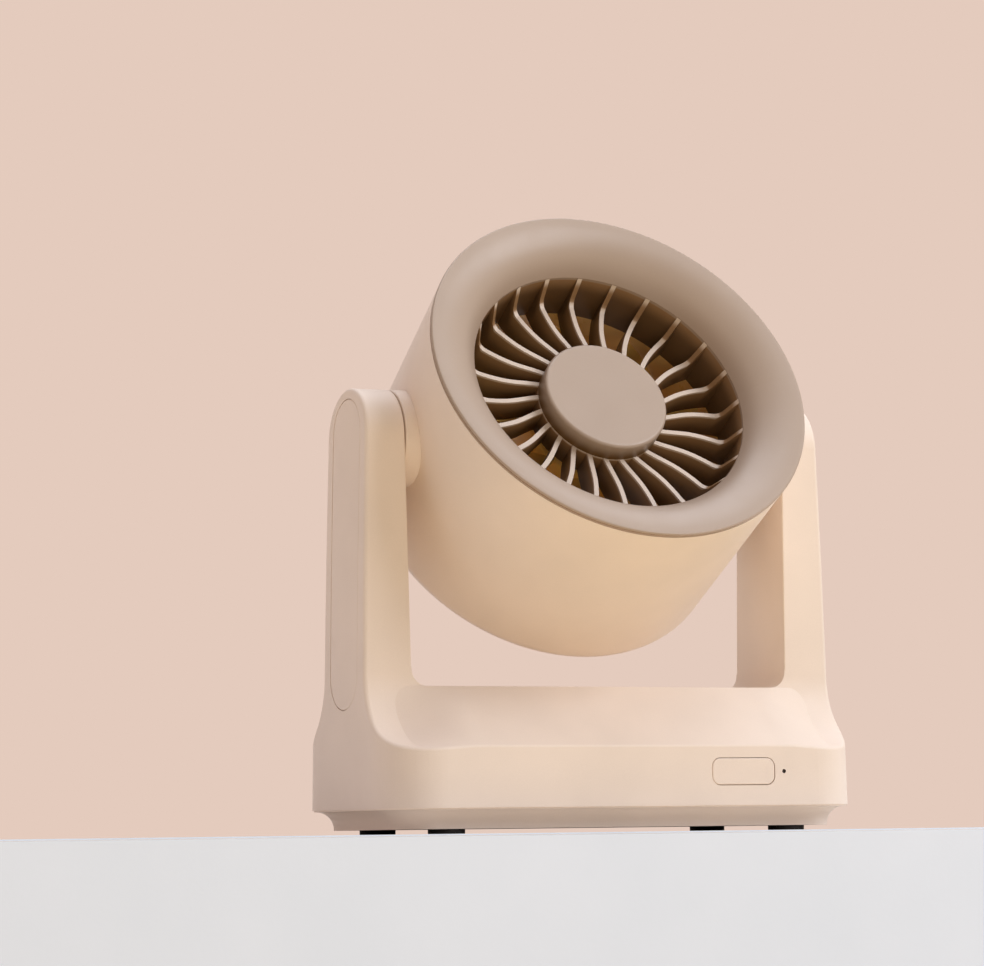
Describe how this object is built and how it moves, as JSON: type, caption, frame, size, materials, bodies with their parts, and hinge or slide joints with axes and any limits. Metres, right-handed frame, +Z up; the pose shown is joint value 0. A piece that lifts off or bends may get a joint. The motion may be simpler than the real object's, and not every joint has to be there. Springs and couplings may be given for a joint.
{
  "type": "air circulator fan",
  "caption": "Desktop air circulator fan: drum head with a swirled guide grille, tilting between the arms of a U-shaped base with a push button.",
  "frame": {"origin": "on the table, at the centre of the four feet, straight below the tilt axis", "axes": "+Z up; +X towards the fan's right side as seen from the front, along the tilt axis; the air leaves towards -Y"},
  "size_m": [0.1842, 0.1403, 0.2209],
  "materials": {
    "cream_shell": "fine matte moulding texture",
    "cream_plate": "fine matte moulding texture",
    "cream_button": "smooth matte",
    "cream_drum": "fine matte moulding texture",
    "cream_hub": "fine matte moulding texture",
    "cream_rear": "matte",
    "taupe_bezel": "satin, faint metallic sheen",
    "taupe_grille": "satin",
    "taupe_cap": "satin",
    "duct_plastic": "matte",
    "impeller_plastic": "satin",
    "black_rubber": "matte",
    "steel": "plated",
    "black_steel": "black oxide",
    "steel_socket": "stamped",
    "cell_wrap": "shrink wrap over the can",
    "white_plastic": "matte",
    "circuit_board": "solder mask",
    "black_plastic": "matte",
    "lamp_plastic": "dark clear, unlit",
    "motor_aluminium": "cast",
    "motor_steel": "laminated",
    "magnet": "moulded"
  },
  "bodies": {
    "yoke": {"yoke_frame": "cream_shell", "left_arm_cap": "cream_shell", "right_arm_cap": "cream_shell", "base_plate": "cream_plate", "rubber_feet": "black_rubber", "base_screws": "steel", "battery_cells": "cell_wrap", "battery_tray": "white_plastic", "main_board": "circuit_board", "switch_board": "circuit_board", "tact_switch": "black_plastic", "lamp_lens": "lamp_plastic", "usb_socket": "steel_socket", "left_pivot_bush": "white_plastic", "right_pivot_bush": "white_plastic"},
    "button": {"power_button": "cream_button", "switch_plunger": "black_plastic"},
    "head": {"drum_shell": "cream_drum", "front_bezel": "taupe_bezel", "front_grille": "taupe_grille", "hub_cap": "taupe_cap", "air_duct": "duct_plastic", "rear_grille": "cream_rear", "rear_screws": "black_steel", "left_pivot_hub": "cream_hub", "right_pivot_hub": "cream_hub", "friction_washers": "steel", "pivot_nuts": "steel", "motor_mount": "motor_aluminium", "motor_bearings": "steel", "motor_stator": "motor_steel", "motor_board": "circuit_board"},
    "rotor": {"impeller": "impeller_plastic", "rotor_can": "motor_steel", "rotor_magnet": "magnet", "motor_shaft": "steel"}
  },
  "joints": [
    {"name": "head_tilt", "type": "hinge", "parent": "yoke", "child": "head", "pos_m": [0, 0, 0.1385], "axis": [-1, 0, 0], "range_deg": [-61.75, 58.25]},
    {"name": "impeller_spin", "type": "hinge", "parent": "head", "child": "rotor", "pos_m": [0, 0, 0.1385], "axis": [0, -0.8504, 0.5262], "continuous": true},
    {"name": "power_press", "type": "slide", "parent": "yoke", "child": "button", "axis": [0, 1, 0], "range_m": [0, 0.0005], "stiffness_N_per_m": 500, "springref_m": -0.0005}
  ]
}
